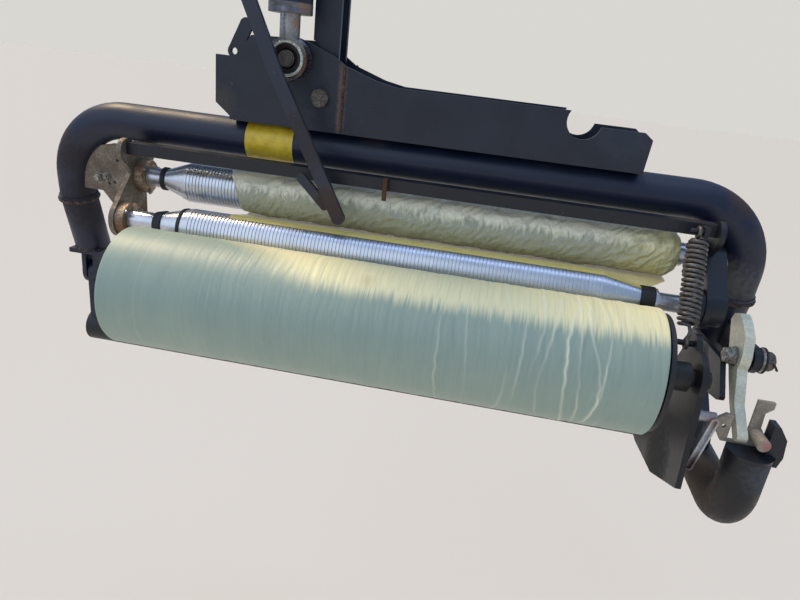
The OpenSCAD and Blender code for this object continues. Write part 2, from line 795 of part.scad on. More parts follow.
// Latch lever on the lug's bolt
module latch_lever() color("#c8c9a8") from_mount() {
  tail = [-76, -85];
  outline = [[50, 38], [44, 50], [28, 56], [14, 52], [-12, 36], [-22, 8], [-20, -10], [-44, -52],
    tail + [-6, 5], tail + [4, -7], [-30, -60], [2, -28], [26, 0]];
  difference() {
    plate_x(lever_x, lever_t) translate([latch_y, latch_z]) {
      polygon(outline);
      translate(tail) circle(8);
      circle(22);
    }
    rod_x(lever_x - 1, lever_x + lever_t + 1, latch_y, latch_z, latch_r + running);
  }
}

mast_arm();
mast_plate();
stop_bar();
cylinder_barrel();
cylinder_rod();
guard_tube();
carrier_channel();
pivot_cheek_front();
pivot_cheek_back();
pivot_pin();
eye_pin();
tie_bar();
tie_stud();
end_plate_left();
end_plate_right();
gusset_left();
gusset_right();
bearings_left();
bearings_right();
gear_case();
hinge_fork_left();
hinge_fork_right();
hanger_plate();
latch_lug();
spring_anchor();
tension_spring();
front_roller();
back_roller();
film_sleeve();
cradle_tube();
cradle_plate_left();
cradle_plate_right();
cradle_ear_left();
cradle_ear_right();
striker();
catch_block();
release_handle();
roll_film();
roll_core();
end_disc_left();
end_disc_right();
latch_lever();
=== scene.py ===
import math

import bpy
from mathutils import Matrix, Vector, noise


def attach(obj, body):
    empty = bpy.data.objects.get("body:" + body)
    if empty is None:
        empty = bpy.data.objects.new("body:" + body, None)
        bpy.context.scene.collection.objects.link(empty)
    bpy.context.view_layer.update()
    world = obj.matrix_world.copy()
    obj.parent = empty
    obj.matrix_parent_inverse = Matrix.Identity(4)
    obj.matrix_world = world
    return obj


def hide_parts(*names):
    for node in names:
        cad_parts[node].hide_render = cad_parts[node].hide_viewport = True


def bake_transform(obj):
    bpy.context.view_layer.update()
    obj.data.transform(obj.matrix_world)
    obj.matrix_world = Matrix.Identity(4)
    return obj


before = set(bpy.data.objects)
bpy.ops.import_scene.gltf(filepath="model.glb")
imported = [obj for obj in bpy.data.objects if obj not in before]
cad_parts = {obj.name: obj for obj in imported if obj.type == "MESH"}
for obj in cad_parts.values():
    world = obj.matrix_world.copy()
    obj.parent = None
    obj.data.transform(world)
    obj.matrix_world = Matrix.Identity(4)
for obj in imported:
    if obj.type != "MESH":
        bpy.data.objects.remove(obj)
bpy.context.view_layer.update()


# Camera. It stands 0.8 m in front of the roll's right half, a little above the guard tube,
# looks down on the rollers and is tipped over to the left. Places are in millimetres from the
# middle of the film roll's axis; at() turns them into the frame's metres from the mast plate.
mast_plate = (-190, 188, 702)


def at(x, y, z):
    return Vector(((x - mast_plate[0]) / 1000, (y - mast_plate[1]) / 1000,
                   (z - mast_plate[2]) / 1000))


eye_at = at(125, -796.9, 351.3)
eye_down, eye_turn, eye_tip = math.radians(21), math.radians(6.88), math.radians(6.76)
focal_px, photo_px, sensor_mm = 620, 800, 36
forward = Vector((-math.sin(eye_turn) * math.cos(eye_down),
                  math.cos(eye_turn) * math.cos(eye_down), -math.sin(eye_down)))
level = forward.cross(Vector((0, 0, 1))).normalized()
raised = level.cross(forward)
right = level * math.cos(eye_tip) + raised * math.sin(eye_tip)
upward = raised * math.cos(eye_tip) - level * math.sin(eye_tip)
camera_data = bpy.data.cameras.new("camera")
camera_data.sensor_width = sensor_mm
camera_data.lens = focal_px / photo_px * sensor_mm
camera_data.clip_end = 60
camera = bpy.data.objects.new("camera", camera_data)
turn = Matrix((right, upward, -forward)).transposed().to_4x4()
camera.matrix_world = Matrix.Translation(eye_at) @ turn
bpy.context.scene.collection.objects.link(camera)
bpy.context.scene.camera = camera


# Studio. A plain pale floor well below the hanging dispenser, in a pale bluish room, a soft warm
# key from the upper left, as on the real one, a wide even fill from the front and a long cool
# lamp over the guard tube. The backdrop has the far floor's colour.
def linear(code):
    parts = [int(code[i:i + 2], 16) / 255 for i in (1, 3, 5)]
    return tuple(c / 12.92 if c < 0.04045 else ((c + 0.055) / 1.055) ** 2.4 for c in parts) + (1,)


def feed(tree, node, inputs):
    for key, value in inputs.items():
        if isinstance(value, bpy.types.Node):
            value = next(out for out in value.outputs if out.enabled)
        if isinstance(value, bpy.types.NodeSocket):
            tree.links.new(value, node.inputs[key])
        else:
            node.inputs[key].default_value = value


def add(tree, kind, inputs=None, **settings):
    made = tree.nodes.new(kind)
    for key, value in settings.items():
        setattr(made, key, value)
    feed(tree, made, inputs or {})
    return made


def add_piece(name, vertices, faces, finish, smooth=True):
    mesh = bpy.data.meshes.new(name)
    mesh.from_pydata([tuple(v) for v in vertices], [], faces)
    mesh.materials.append(finish)
    mesh.polygons.foreach_set("use_smooth", [smooth] * len(mesh.polygons))
    mesh.update()
    if smooth:
        mesh.set_sharp_from_angle(angle=math.radians(35))
    made = bpy.data.objects.new(name, mesh)
    bpy.context.scene.collection.objects.link(made)
    return made


def new_finish(name):
    finish = bpy.data.materials.new(name)
    finish.use_nodes = True
    return finish, finish.node_tree, finish.node_tree.nodes["Principled BSDF"]


lamp_aim = at(0, 60, 0)


def add_lamp(name, kind, place, energy, shade, **shape):
    data = bpy.data.lights.new(name, kind)
    data.energy = energy
    data.color = linear(shade)[:3]
    for key, value in shape.items():
        setattr(data, key, value)
    made = bpy.data.objects.new(name, data)
    made.location = place
    aim = lamp_aim - Vector(place)
    made.rotation_euler = aim.to_track_quat("-Z", "Y").to_euler()
    bpy.context.scene.collection.objects.link(made)


# matt floor paint, which shows only a soft shadow
floor_z, floor_half, floor_shade = -1.75, 30, "#d9d7d2"
floor_paint, tree, shader = new_finish("pale_floor_paint")
feed(tree, shader, {"Base Color": linear(floor_shade), "Roughness": 0.9})
corners = [(-1, -1), (1, -1), (1, 1), (-1, 1)]
floor = add_piece("studio_floor", [(x * floor_half, y * floor_half, floor_z) for x, y in corners],
                  [(0, 1, 2, 3)], floor_paint, smooth=False)
add_lamp("key_lamp", "SUN", (-1.6, 0.85, 1.9), 2.5, "#ffe3b8", angle=math.radians(18))
add_lamp("tube_lamp", "AREA", (0.2, -0.3, 1.5), 11, "#afc3f2", shape="RECTANGLE", size=3.0,
         size_y=0.45)
add_lamp("fill_lamp", "SUN", (-1.4, -2.6, 1.2), 0.7, "#eef3ff", angle=math.radians(60))
world = bpy.data.worlds.new("studio_room")
bpy.context.scene.world = world
world.use_nodes = True
sky = world.node_tree
room = sky.nodes["Background"]
feed(sky, room, {"Color": linear("#b0ccf0"), "Strength": 0.62})
backdrop = add(sky, "ShaderNodeBackground", {"Color": linear(floor_shade), "Strength": 1})
path = add(sky, "ShaderNodeLightPath")
seen = add(sky, "ShaderNodeMath", {0: path.outputs["Is Camera Ray"],
                                   1: path.outputs["Is Transmission Ray"]}, operation="MAXIMUM")
pick = add(sky, "ShaderNodeMixShader", {0: seen, 1: room, 2: backdrop})
feed(sky, sky.nodes["World Output"], {"Surface": pick})
bpy.context.scene.view_settings.view_transform = "Standard"


# Painted steel frame: guard tube, carrier, plates and cradle, welded from tube and sheet and
# sprayed with black two-pack enamel. It gives the eye a soft gloss, dust on what faces up, which
# on the tubes is partly a painted highlight, small chips, and rust or dried mud in the places
# where the real one has it.
under, over = 6, 7  # a Mix node's two colour sockets


# each patch is its centre, its radius in millimetres, its colour and its strength; a pattern's
# size in millimetres that isn't round is 1000 over how many fit into a metre
def paint(name, coat, dust_and_sheen, dusty, patches, gloss, chips=0.7):
    finish, tree, shader = new_finish(name)
    cloud_mm, speck_mm = 62.5, 1000 / 130
    place = add(tree, "ShaderNodeTexCoord")
    cloud = add(tree, "ShaderNodeTexNoise", {"Vector": place.outputs["Object"], "Detail": 9,
                                             "Scale": 1000 / cloud_mm, "Roughness": 0.65})
    speck = add(tree, "ShaderNodeTexNoise", {"Vector": place.outputs["Object"], "Detail": 5,
                                             "Scale": 1000 / speck_mm, "Roughness": 0.6})
    facing = add(tree, "ShaderNodeSeparateXYZ", {0: place.outputs["Normal"]})
    upper = add(tree, "ShaderNodeMapRange", {0: facing.outputs["Z"], "From Min": -0.4,
                                             "To Min": 0.12})
    patchy = add(tree, "ShaderNodeMapRange", {0: cloud, "From Min": 0.36, "From Max": 0.72})
    settled = add(tree, "ShaderNodeMath", {0: upper, 1: patchy}, operation="MULTIPLY")
    settled = add(tree, "ShaderNodeMath", {0: settled, 1: dusty}, operation="MULTIPLY")
    shade = add(tree, "ShaderNodeMix", {0: settled, under: linear(coat), over: linear(dust_and_sheen)},
                data_type="RGBA")
    worn = settled
    for centre, radius, code, strength in patches:
        away = add(tree, "ShaderNodeVectorMath", {0: place.outputs["Object"], 1: at(*centre)},
                   operation="DISTANCE")
        near = add(tree, "ShaderNodeMapRange", {0: away, "From Min": radius / 1000,
                                                "From Max": radius / 4000})
        ragged = add(tree, "ShaderNodeMath", {0: near, 1: speck}, operation="MULTIPLY")
        ragged = add(tree, "ShaderNodeMapRange", {0: ragged, "From Min": 0.16, "From Max": 0.42,
                                                  "To Max": strength})
        shade = add(tree, "ShaderNodeMix", {0: ragged, under: shade, over: linear(code)},
                    data_type="RGBA")
        worn = add(tree, "ShaderNodeMath", {0: worn, 1: ragged}, operation="MAXIMUM")
    chip = add(tree, "ShaderNodeMapRange", {0: speck, "From Min": chips,
                                            "From Max": chips + 0.05, "To Max": 0.4})
    shade = add(tree, "ShaderNodeMix", {0: chip, under: shade, over: linear("#6f675c")},
                data_type="RGBA")
    rough = add(tree, "ShaderNodeMapRange", {0: worn, "From Max": 0.6, "To Min": gloss,
                                             "To Max": 0.85})
    bump = add(tree, "ShaderNodeBump", {"Height": speck, "Strength": 0.35, "Distance": 0.0006})
    feed(tree, shader, {"Base Color": shade, "Roughness": rough, "Normal": bump})
    return finish


def dress(finish, *nodes):
    for node in nodes:
        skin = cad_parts[node].data.materials
        skin.clear()
        skin.append(finish)


# blue-black on the tubes, the blue partly a painted sky reflection and the blue-grey dust on top
# partly a painted highlight; brown dirt at the bends, and grey patches on the right leg that are a
# painted highlight
tube_enamel = paint("black_enamel_on_tube", "#0f1830", "#3c475c", 0.26, [
    ((-590, 185, 150), 70, "#3b2f26", 0.6), ((-565, 200, 60), 90, "#3a322c", 0.6),
    # the grey patches at x 549 and 508 on the right leg are a painted highlight
    ((498, 190, 218), 60, "#4a3a30", 0.7), ((549, 195, 160), 70, "#4f4a43", 0.55),
    ((508, 195, 90), 70, "#6f6b60", 0.6), ((-60, 180, 236), 40, "#3e3730", 0.5),
    ((545, 232, -20), 50, "#4b3d31", 0.8)], 0.42)
dress(tube_enamel, "guard_tube", "hinge_fork_left", "hinge_fork_right", "cradle_ear_left",
      "cradle_ear_right")
# the same enamel low down on the cradle, painted darker as shade, with dried mud at the right
cradle_enamel = paint("black_enamel_on_cradle", "#0c0e13", "#37332e", 0.28, [
    ((530, 30, -165), 90, "#4b382b", 0.8), ((548, -20, -110), 50, "#54565c", 0.7),
    ((500, 60, -185), 60, "#57493c", 0.6), ((436, 40, -150), 80, "#33322b", 0.6)], 0.42)
dress(cradle_enamel, "cradle_tube", "cradle_plate_left", "cradle_plate_right")
# the carrier is greyer with dust, rusty beside its weld and darker just below the rod's eye
weld_rust = [((-112, 148, z), 11, "#6b5850", 0.8) for z in range(244, 334, 8)]
carrier_enamel = paint("blue_black_enamel_on_carrier", "#151b29", "#434956", 0.45, [
    ((-303, 146, 262), 40, "#4e4a45", 0.7), *weld_rust, ((-144, 146, 286), 22, "#2f2b28", 0.9),
    ((-170, 148, 300), 60, "#343942", 0.8), ((300, 150, 296), 60, "#3b414b", 0.6)], 0.36)
dress(carrier_enamel, "carrier_channel", "pivot_cheek_front", "pivot_cheek_back", "mast_arm",
      "mast_plate", "cylinder_barrel")
# the small fittings keep a dull black
fitting_enamel = paint("black_enamel_on_fittings", "#12161f", "#403e3b", 0.38, [
    ((496, 150, -40), 60, "#423b33", 0.7)], 0.38)
dress(fitting_enamel, "tie_bar", "end_plate_right", "gusset_right", "bearings_right", "gear_case",
      "hanger_plate", "catch_block", "latch_lug", "spring_anchor")
# the stop bar is chipped, with long stretches gone brown
stop_enamel = paint("worn_enamel_on_stop_bar", "#232938", "#4c4a4c", 0.35, [
    ((-100, 88, 140), 50, "#4a372c", 0.7), ((-150, 88, 225), 80, "#382e29", 0.5),
    ((-266, 88, 500), 120, "#3a342e", 0.6)], 0.32, chips=0.68)
dress(stop_enamel, "stop_bar")


# Bare and plated steel: the left end plate and gusset in dusty bare sheet, pressed bearing
# flanges, a rusty stud, pins cut from bar, the chromed rod, and a zinc-plated striker, lever and
# handle. They give the eye a metal under dirt, with brown in the corners and brighter faces.
def steel(name, light, dark, dirt, dirty, rough, grain_mm, patches=(), metallic=0.85):
    finish, tree, shader = new_finish(name)
    speck_mm = 1000 / 330
    place = add(tree, "ShaderNodeTexCoord")
    cloud = add(tree, "ShaderNodeTexNoise", {"Vector": place.outputs["Object"], "Detail": 9,
                                             "Scale": 1000 / grain_mm, "Roughness": 0.68})
    speck = add(tree, "ShaderNodeTexNoise", {"Vector": place.outputs["Object"], "Detail": 4,
                                             "Scale": 1000 / speck_mm})
    tone = add(tree, "ShaderNodeMapRange", {0: cloud, "From Min": 0.35, "From Max": 0.65})
    shade = add(tree, "ShaderNodeMix", {0: tone, under: linear(dark), over: linear(light)},
                data_type="RGBA")
    soil = add(tree, "ShaderNodeMath", {0: cloud, 1: speck}, operation="MULTIPLY")
    soil = add(tree, "ShaderNodeMapRange", {0: soil, "From Min": 0.3, "From Max": 0.2,
                                            "To Max": dirty})
    shade = add(tree, "ShaderNodeMix", {0: soil, under: shade, over: linear(dirt)},
                data_type="RGBA")
    for centre, radius, code in patches:
        away = add(tree, "ShaderNodeVectorMath", {0: place.outputs["Object"], 1: at(*centre)},
                   operation="DISTANCE")
        near = add(tree, "ShaderNodeMapRange", {0: away, "From Min": radius / 1000,
                                                "From Max": radius / 3000, "To Max": 0.85})
        shade = add(tree, "ShaderNodeMix", {0: near, under: shade, over: linear(code)},
                    data_type="RGBA")
    metal = add(tree, "ShaderNodeMapRange", {0: soil, "From Max": 0.7, "To Min": metallic,
                                             "To Max": 0.15})
    matt = add(tree, "ShaderNodeMapRange", {0: soil, "From Max": 0.7, "To Min": rough,
                                            "To Max": 0.9})
    bump = add(tree, "ShaderNodeBump", {"Height": cloud, "Strength": 0.3, "Distance": 0.0004})
    feed(tree, shader, {"Base Color": shade, "Metallic": metal, "Roughness": matt,
                        "Normal": bump})
    return finish


# dull grey-brown sheet with two rusty corners
bare_sheet = steel("dusty_bare_steel_sheet", "#968c7e", "#7b7063", "#66543f", 0.6, 0.6, 25,
                   [((-478, 180, 158), 28, "#6a5342"), ((-465, 182, 60), 30, "#5a4230")])
dress(bare_sheet, "end_plate_left", "gusset_left")
# even brown rust
rusty_steel = steel("rusty_pressed_steel", "#7a5a41", "#583f2e", "#3d2a20", 0.8, 0.7, 1000 / 70)
dress(rusty_steel, "tie_stud")
# pale stained flanges, rusty round the front shaft
flange_steel = steel("stained_bearing_flange", "#cbb699", "#a68b6c", "#77543b", 0.6, 0.6, 1000 / 60,
                     [((-440, 90, 30), 50, "#74492c"), ((-446, 150, 100), 20, "#6e4e36")])
dress(flange_steel, "bearings_left")
# dark bar ends with a fine weathered grain
dull_pin = steel("weathered_pin_steel", "#7d7a76", "#514c47", "#4a3d31", 0.8, 0.45, 1000 / 90)
dress(dull_pin, "pivot_pin", "eye_pin")
# worn zinc, more grey than metal, pinkish at the jaw
zinc = steel("worn_zinc_plating", "#b4aa9a", "#978c7c", "#6e6353", 0.35, 0.5, 40,
             [((541, -26, -69), 10.5, "#a8746e")], metallic=0.35)
dress(zinc, "striker")
# bright new zinc on the handle, with a dark red tip
bright_zinc = steel("bright_zinc_handle", "#d6d8da", "#a9abad", "#665a4e", 0.3, 0.3, 40,
                    [((449, -36, -114), 28, "#4a2521"), ((462, -28, -40), 20, "#96807a")],
                    metallic=0.55)
dress(bright_zinc, "release_handle")
# chromated zinc, a pale yellow sheen in broad clouds
yellow_zinc = steel("yellow_chromated_zinc", "#f4eecb", "#d6d5c2", "#8c8060", 0.2, 0.34, 1000 / 18,
                    [((517, 66, 62), 12, "#8d8877")], metallic=0.25)
dress(yellow_zinc, "latch_lever")
# bright chrome under a film of brown grease, thickest round the eye
rod_chrome = steel("greasy_chrome_rod", "#cdced0", "#b4b3b2", "#4f463b", 0.3, 0.14, 1000 / 22,
                   [((-181, 122, 332), 50, "#44352d"), ((-160, 124, 330), 30, "#5a4036"),
                    ((-176, 122, 384), 14, "#a08368")])
dress(rod_chrome, "cylinder_rod")


# End discs of the roll. Moulded in black plastic and pushed into the cardboard core from both
# sides; a fine grit in the moulding keeps their faces dull and a little grey.
def flecked(name, dark, light, fleck_mm, rough, detail, ragged=0.5):
    finish, tree, shader = new_finish(name)
    place = add(tree, "ShaderNodeTexCoord")
    fleck = add(tree, "ShaderNodeTexNoise", {"Vector": place.outputs["Object"], "Detail": detail,
                                             "Scale": 1000 / fleck_mm, "Roughness": ragged})
    shade = add(tree, "ShaderNodeMix", {0: fleck, under: linear(dark), over: linear(light)},
                data_type="RGBA")
    feed(tree, shader, {"Base Color": shade, "Roughness": rough})
    return finish


dark_plastic = flecked("black_moulded_plastic", "#141516", "#33322f", 1000 / 220, 0.5, 5)
dress(dark_plastic, "end_disc_left", "end_disc_right")


# Stretch rollers. Turned from aluminium tube with a groove every 5.5 mm, cones and steel shafts
# at the ends; the front one has two black rubber rings at its left end and a black sleeve at
# its right, and the back one has one ring. They turn in the bearing flanges.
front_axis, back_axis = (105, 66), (165, 126)


# a profile is pairs of a place along the axis and the radius there
def turned(name, profile, axis, finish, sides, along="x", capped=False, relief=None, slant=None):
    vertices, faces = [], []
    for spot, r in profile:
        for k in range(sides):
            angle = 2 * math.pi * k / sides
            reach = r + (relief(spot, r, angle) if relief else 0)
            a = axis[0] + reach * math.cos(angle)
            b = axis[1] + reach * math.sin(angle)
            s = spot + (slant(spot, angle) if slant else 0)
            vertices.append(at(*{"x": (s, a, b), "y": (a, s, b), "z": (a, b, s)}[along]))
    rings = len(profile)
    for i in range(rings - 1 if capped else rings):
        here, after = i * sides, (i + 1) % rings * sides
        for k in range(sides):
            n = (k + 1) % sides
            p, q = (n, k) if along == "y" else (k, n)
            faces.append((here + p, here + q, after + q, after + p))
    if capped:
        faces.append(tuple(range(sides - 1, -1, -1)))
        faces.append(tuple(range((rings - 1) * sides, rings * sides)))
    return add_piece(name, vertices, faces, finish)


# turned aluminium: fine bright lathe lines across, with clouds where the film rubs
turned_aluminium, tree, shader = new_finish("turned_aluminium")
lathe_mm, streak_mm, rub_mm = 1000 / 900, 1000 / 30, 1000 / 22
place = add(tree, "ShaderNodeTexCoord")
lathe = add(tree, "ShaderNodeMapping", {
    "Vector": place.outputs["Object"],
    "Scale": [1000 / size for size in (lathe_mm, streak_mm, streak_mm)]})
lines = add(tree, "ShaderNodeTexNoise", {"Vector": lathe, "Scale": 1, "Detail": 3})
film_rub = add(tree, "ShaderNodeTexNoise", {"Vector": place.outputs["Object"], "Detail": 6,
                                            "Scale": 1000 / rub_mm})
shade = add(tree, "ShaderNodeMix", {0: film_rub, under: linear("#dadde2"),
                                    over: linear("#bfc1c4")}, data_type="RGBA")
rough = add(tree, "ShaderNodeMapRange", {0: lines, "From Min": 0.3, "From Max": 0.7,
                                         "To Min": 0.24, "To Max": 0.42})
bump = add(tree, "ShaderNodeBump", {"Height": lines, "Strength": 0.2, "Distance": 0.0003})
feed(tree, shader, {"Base Color": shade, "Roughness": rough, "Normal": bump, "Metallic": 0.9})
roller_r, land, groove_wall, groove_deep, groove_pitch, undercut = 32, 3.8, 0.5, 1.1, 5.5, 0.1
for end, axis, start, stop, left_steps, right_steps in [
        ("front", front_axis, -327, 308, [(-458, 12), (-431, 12), (-431, 16), (-387, 16)],
         [(366, 18), (390, 18), (390, 13), (437, 13), (437, 12), (464, 12)]),
        ("back", back_axis, -358, 380, [(-458, 12), (-431, 12), (-431, 16), (-400, 16)],
         [(402, 18), (426, 18), (426, 15), (437, 15), (437, 12), (464, 12)])]:
    profile = list(left_steps)
    x = start
    while x < stop - groove_pitch:
        profile += [(x, roller_r), (x + land, roller_r),
                    (x + land + groove_wall, roller_r - groove_deep),
                    (x + groove_pitch + undercut, roller_r - groove_deep)]
        x += groove_pitch
    profile += [(x, roller_r), (stop, roller_r)] + right_steps
    roller = turned(end + "_stretch_roller", profile, axis, turned_aluminium, 64, capped=True)
    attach(roller, end + "_roller")
    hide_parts(end + "_roller")
# rubber: near black and matt, greyed by wear
black_rubber = flecked("black_rubber", "#111213", "#2b2a28", 1000 / 300, 0.6, 3)
for name, axis, body, profile in [
        ("front_shaft_ring", front_axis, "front_roller",
         [(-388, 16.1), (-388, 18.6), (-374, 22), (-374, 18)]),
        ("front_cone_ring", front_axis, "front_roller",
         [(-343, 26), (-343, 29.8), (-338, 31.2), (-338, 27)]),
        ("front_sleeve_ring", front_axis, "front_roller",
         [(365, 17), (365, 19.6), (386, 19.6), (386, 17)]),
        ("back_shaft_ring", back_axis, "back_roller",
         [(-406, 15), (-406, 19), (-400, 19), (-400, 15)])]:
    ring = turned(name, profile, axis, black_rubber, 64)
    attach(ring, body)


# Film bunched on the back roller. Thin pale yellow-green stretch film wound in loose layers:
# twisted where it starts at the left, wrinkled all along, with brighter folds at the right.
sleeve_left, sleeve_right, sleeve_r, end_taper = -278, 418, 33.4, 19
# loose film gives the eye a soft sheen, a near-white painted sunlit top, and yellower where it lies
# thick
bunched_film, tree, shader = new_finish("bunched_stretch_film")
fold_wide_mm, fold_long_mm, fine_mm = 1000 / 96, 1000 / 35.2, 1000 / 90
place = add(tree, "ShaderNodeTexCoord")
folds = add(tree, "ShaderNodeMapping", {
    "Vector": place.outputs["Object"], "Rotation": (0, 0.35, 0.25),
    "Scale": [1000 / size for size in (fold_wide_mm, fold_long_mm, fold_long_mm)]})
crease = add(tree, "ShaderNodeTexNoise", {"Vector": folds, "Scale": 1, "Detail": 6,
                                          "Roughness": 0.6, "Distortion": 1.2})
fine = add(tree, "ShaderNodeTexNoise", {"Vector": place.outputs["Object"], "Detail": 6,
                                        "Scale": 1000 / fine_mm, "Distortion": 2})
shade = add(tree, "ShaderNodeMix", {0: crease, under: linear("#979a86"),
                                    over: linear("#c0bfa6")}, data_type="RGBA")
split = add(tree, "ShaderNodeSeparateXYZ", {0: place.outputs["Object"]})
# painted light: the film turns near white along its top, as if lit by the sun
sunlit_top_height = add(tree, "ShaderNodeMath", {0: crease, 1: 0.05}, operation="MULTIPLY")
sunlit_top_height = add(tree, "ShaderNodeMath", {0: split.outputs["Z"], 1: sunlit_top_height}, operation="ADD")
painted_sunlit_top = add(tree, "ShaderNodeMapRange", {0: sunlit_top_height, "From Min": at(0, 0, 157).z,
                                          "From Max": at(0, 0, 170).z, "To Max": 0.85})
shade = add(tree, "ShaderNodeMix", {0: painted_sunlit_top, under: shade, over: linear("#fdf7da")},
            data_type="RGBA")
bright_end = add(tree, "ShaderNodeMapRange", {0: split.outputs["X"], "From Min": at(300, 0, 0).x,
                                              "From Max": at(385, 0, 0).x, "To Max": 0.55})
shade = add(tree, "ShaderNodeMix", {0: bright_end, under: shade, over: linear("#e4d88c")},
            data_type="RGBA")
both = add(tree, "ShaderNodeMath", {0: crease, 1: fine}, operation="ADD")
bump = add(tree, "ShaderNodeBump", {"Height": both, "Strength": 0.7, "Distance": 0.0022})
feed(tree, shader, {"Base Color": shade, "Normal": bump, "Roughness": 0.3,
                    "Subsurface Weight": 0.15, "Subsurface Radius": (0.01, 0.01, 0.006)})


# a slow twist at the left, ridges that lean round the sleeve and small ones between them
twist_mm, ridge_mm, small_mm, lean_mm = 34, 13, 5, 24
twist_high, ridge_high, small_high = 1.8, 3.2, 1.3
loose_from, loose_long, twist_from, twist_long = 290, 70, -170, 120


def bunched(x, r, angle):
    if x == sleeve_left:
        return 0
    round_y, round_z = math.cos(angle), math.sin(angle)
    loose = 1 + 1.2 * min(1, max(0, (x - loose_from) / loose_long))
    leaning = x + lean_mm * angle
    wound_up = angle * 1.3 * max(0, (twist_from - x) / twist_long)
    twist = noise.noise(Vector((x / twist_mm + wound_up, round_y * 1.6, round_z * 1.6)))
    ridge = 1 - abs(noise.noise(Vector((leaning / ridge_mm, round_y * 2.1, round_z * 2.1 + 7))))
    small = 1 - abs(noise.noise(Vector((leaning / small_mm, round_y * 3.4, round_z * 3.4 + 3))))
    amount = min(1, (x - sleeve_left + 1) / 40) * min(1, (sleeve_right + 2 - x) / 12)
    high = ridge_high * (ridge - 0.8) + small_high * (small - 0.8)
    return amount * (twist_high * twist + loose * high)


slant_mm, slant_turn, slant_from, slant_long = 15, 2.4, -200, 80


def slanted(x, angle):
    return slant_mm * math.cos(angle + slant_turn) * max(0, (slant_from - x) / slant_long)


grow_long, grow_mm, end_drop, last_r, ring_step = 55, 3, 11, 22, 1.6
profile = [(sleeve_left, roller_r + 0.3)]
x = sleeve_left + 2
while x < sleeve_right - 1:
    grow = min(1, (x - sleeve_left) / grow_long)
    taper = max(0, x - sleeve_right + end_taper) / end_taper
    profile.append((x, sleeve_r + grow_mm * grow - end_drop * taper ** 1.6))
    x += ring_step
profile.append((sleeve_right, last_r))
sleeve = turned("bunched_film", profile, back_axis, bunched_film, 150, relief=bunched,
                slant=slanted)
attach(sleeve, "back_roller")
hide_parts("film_sleeve")


# Film web. A single stretched layer of film that goes round the front roller's top, crosses
# to the underside of the back one, fans out at the right and clings to the bunched film there.
# Drawn thin, it is see-through, and its clear yellow is partly its own colour and partly painted
# light shining through it, with fine strain lines.
web_film, tree, shader = new_finish("stretched_film_web")
strain_wide_mm, strain_long_mm = 1000 / 105, 1000 / 18
place = add(tree, "ShaderNodeTexCoord")
pull = add(tree, "ShaderNodeMapping", {
    "Vector": place.outputs["Object"],
    "Scale": [1000 / size for size in (strain_wide_mm, strain_long_mm, strain_long_mm)]})
strain = add(tree, "ShaderNodeTexNoise", {"Vector": pull, "Scale": 1, "Detail": 5,
                                          "Distortion": 0.8})
# the bright yellow here is partly painted light, as if the film were lit from behind
shade = add(tree, "ShaderNodeMix", {0: strain, under: linear("#ecca58"),
                                    over: linear("#fbe894")}, data_type="RGBA")
bump = add(tree, "ShaderNodeBump", {"Height": strain, "Strength": 0.5, "Distance": 0.0015})
feed(tree, shader, {"Base Color": shade, "Normal": bump, "Roughness": 0.25, "Alpha": 0.86})
web_left, web_right, fan_mm, columns, rows = -262, 372, 36, 220, 20
front_rows, gap_rows = 4, 10
touch_deg, leave_deg = 112, 78.8
meet_deg, wrap_deg, meet_y, meet_z, wrap_r = -100.9, 45, 157.6, 87.7, 39
cone_from, cone_long, cone_drop = 308, 58, 14


def round_axis(axis, r, degrees):
    angle = math.radians(degrees)
    return axis[0] + r * math.cos(angle), axis[1] + r * math.sin(angle)


vertices, faces = [], []
for i in range(columns + 1):
    foot_x = web_left + (web_right - web_left) * i / columns
    fan = fan_mm * max(0, (i / columns - 0.86) / 0.14) ** 1.3
    front_r = roller_r + 0.5 - max(0, foot_x - cone_from) * cone_drop / cone_long
    leave_y, leave_z = round_axis(front_axis, front_r, leave_deg)
    for j in range(rows + 1):
        x = foot_x + fan * min(1, max(0, (j - 3) / 8))
        part = (j - front_rows) / gap_rows
        if j < front_rows:
            y, z = round_axis(front_axis, front_r,
                              touch_deg - (touch_deg - leave_deg) * j / front_rows)
        elif part <= 1:
            y, z = leave_y + (meet_y - leave_y) * part, leave_z + (meet_z - leave_z) * part
            z += 1.2 * math.sin(part * math.pi) * noise.noise(Vector((x / 22, part * 2, 0)))
        else:
            left_over = (j - front_rows - gap_rows) / (rows - front_rows - gap_rows)
            y, z = round_axis(back_axis, wrap_r, meet_deg + wrap_deg * left_over)
        vertices.append(at(x, y, z))
for i in range(columns):
    for j in range(rows):
        a = i * (rows + 1) + j
        faces.append((a, a + rows + 1, a + rows + 2, a + 1))
web = add_piece("film_web", vertices, faces, web_film)
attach(web, "dispenser")


# Film roll. 750 mm wide stretch film, pale sage green in the mass, wound tight on a cardboard
# core: fine hoops round it from the winding, wavy wrinkles near the right end, layer marks on
# the end faces, a painted sunlit top in pale yellow and one small brown smudge.
wound_film, tree, shader = new_finish("wound_stretch_film")
hoop_mm, hoop_long_mm, broad_mm, broad_long_mm = 1000 / 420, 1000 / 7, 1000 / 34, 1000 / 9
place = add(tree, "ShaderNodeTexCoord")
split = add(tree, "ShaderNodeSeparateXYZ", {0: place.outputs["Object"]})
hoops = add(tree, "ShaderNodeMapping", {
    "Vector": place.outputs["Object"],
    "Scale": [1000 / size for size in (hoop_mm, hoop_long_mm, hoop_long_mm)]})
hoop = add(tree, "ShaderNodeTexNoise", {"Vector": hoops, "Scale": 1, "Detail": 4,
                                        "Roughness": 0.55, "Distortion": 0.4})
broad = add(tree, "ShaderNodeMapping", {
    "Vector": place.outputs["Object"],
    "Scale": [1000 / size for size in (broad_mm, broad_long_mm, broad_long_mm)]})
wide = add(tree, "ShaderNodeTexNoise", {"Vector": broad, "Scale": 1, "Detail": 5})
